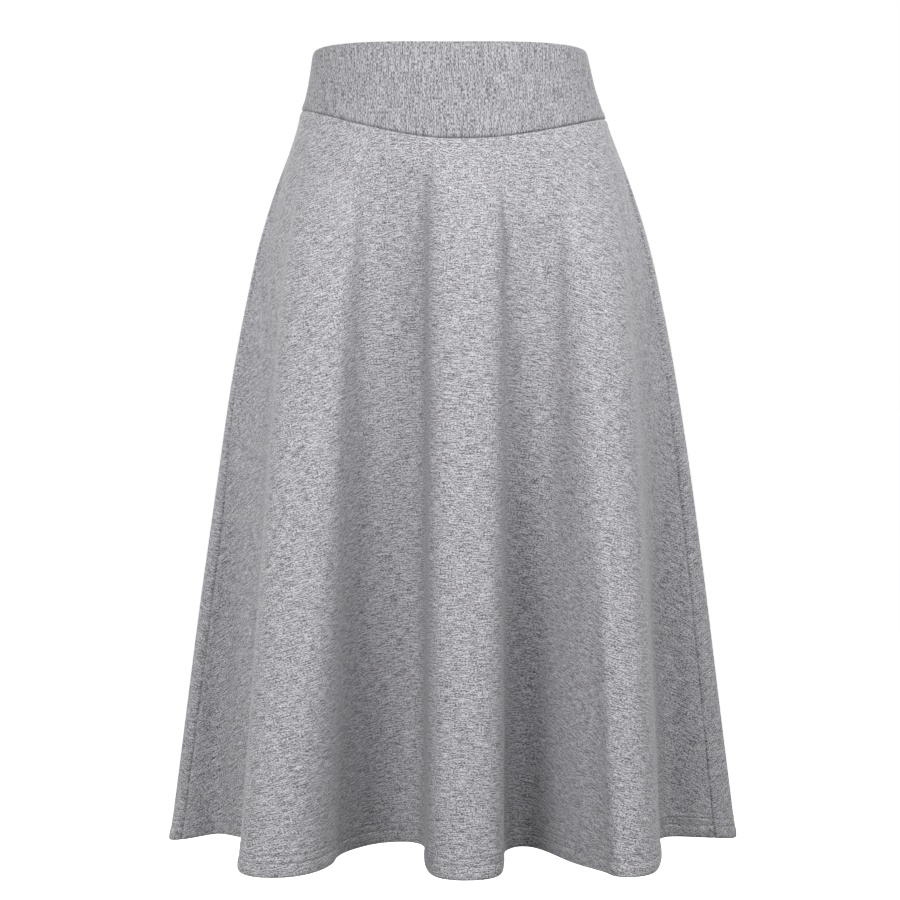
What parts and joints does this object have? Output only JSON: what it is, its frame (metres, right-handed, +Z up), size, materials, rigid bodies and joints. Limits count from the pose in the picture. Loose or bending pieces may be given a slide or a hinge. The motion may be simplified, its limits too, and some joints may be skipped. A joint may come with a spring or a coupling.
{
  "type": "flared midi skirt",
  "caption": "Flared knit midi skirt in its worn hollow shape, with fluted front and back panels under a wide shaped waistband.",
  "frame": {"origin": "middle of the waist's top edge, where the wearer's waist holds the skirt", "axes": "+X to the right as seen from the front, +Y to the back, +Z up"},
  "size_m": [0.4827, 0.3456, 0.6642],
  "materials": {
    "panel_knit": "matt grey marl knit, grain level at the middle of each panel",
    "band_knit": "the same matt grey marl knit, cut with its grain upright",
    "thread": "matt grey sewing thread of the hem's twin stitching"
  },
  "bodies": {
    "root": {"waistband_front": "band_knit", "waistband_back": "band_knit", "front_panel": "panel_knit", "back_panel": "panel_knit"}
  },
  "joints": []
}
